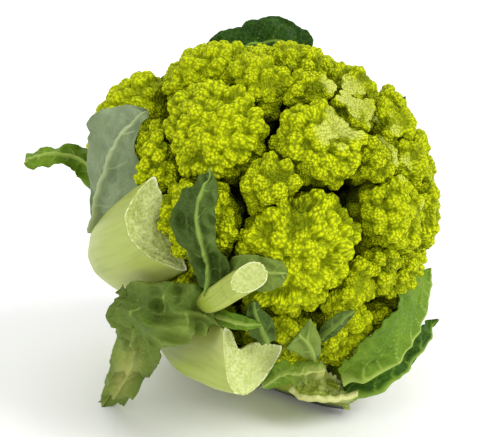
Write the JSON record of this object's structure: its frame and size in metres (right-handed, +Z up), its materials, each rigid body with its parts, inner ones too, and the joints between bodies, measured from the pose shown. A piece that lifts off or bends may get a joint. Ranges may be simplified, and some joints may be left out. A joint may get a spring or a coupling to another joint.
{
  "type": "cauliflower",
  "caption": "Whole green cauliflower as picked and trimmed, lying on its side with cut leaf stalks and a few leaves around the curd.",
  "frame": {"origin": "middle of the head's footprint box, on the surface that it lies on", "axes": "+Z up, +X from the stem side towards the right of the curd, -Y towards the side of the curd that shows most; the stem-to-curd axis leans towards +X, -Y and +Z"},
  "size_m": [0.1926, 0.1924, 0.1701],
  "materials": {
    "curd": "matt, finely granular yellow-green curd",
    "stem_flesh": "smooth pale green stem, fibrous on the cut end",
    "stalk_skin": "waxy ribbed skin with a pale bloom, moist where cut",
    "leaf_blade": "waxy veined leaf, paler on its outer side"
  },
  "bodies": {
    "root": {"main_stem": "stem_flesh", "left_stalk": "stalk_skin", "lower_stalk": "stalk_skin", "table_stalk": "stalk_skin", "small_stalk": "stalk_skin", "right_back_stalk": "stalk_skin", "upper_left_stalk": "stalk_skin", "top_leaf": "leaf_blade", "back_leaf": "leaf_blade", "left_leaf": "leaf_blade", "curled_leaf": "leaf_blade", "inner_leaf": "leaf_blade", "draped_leaf": "leaf_blade", "collar_leaf": "leaf_blade", "right_leaf": "leaf_blade", "outer_right_leaf": "leaf_blade", "small_leaf": "leaf_blade", "pointed_leaf": "leaf_blade", "torn_leaf": "leaf_blade", "short_leaf": "leaf_blade", "bract_leaf": "leaf_blade", "floret_01": "curd", "floret_02": "curd", "floret_03": "curd", "floret_04": "curd", "floret_05": "curd", "floret_06": "curd", "floret_07": "curd", "floret_08": "curd", "floret_09": "curd", "floret_10": "curd", "floret_11": "curd", "floret_12": "curd", "floret_13": "curd", "floret_14": "curd", "floret_15": "curd", "floret_16": "curd", "floret_17": "curd", "floret_18": "curd", "floret_19": "curd", "floret_20": "curd", "floret_21": "curd", "floret_22": "curd", "floret_23": "curd", "floret_24": "curd", "floret_25": "curd", "floret_26": "curd", "floret_27": "curd", "floret_28": "curd", "floret_29": "curd", "floret_30": "curd", "floret_31": "curd", "floret_32": "curd", "floret_33": "curd", "floret_34": "curd", "floret_35": "curd", "floret_36": "curd", "floret_37": "curd", "floret_38": "curd", "floret_39": "curd"}
  },
  "joints": []
}
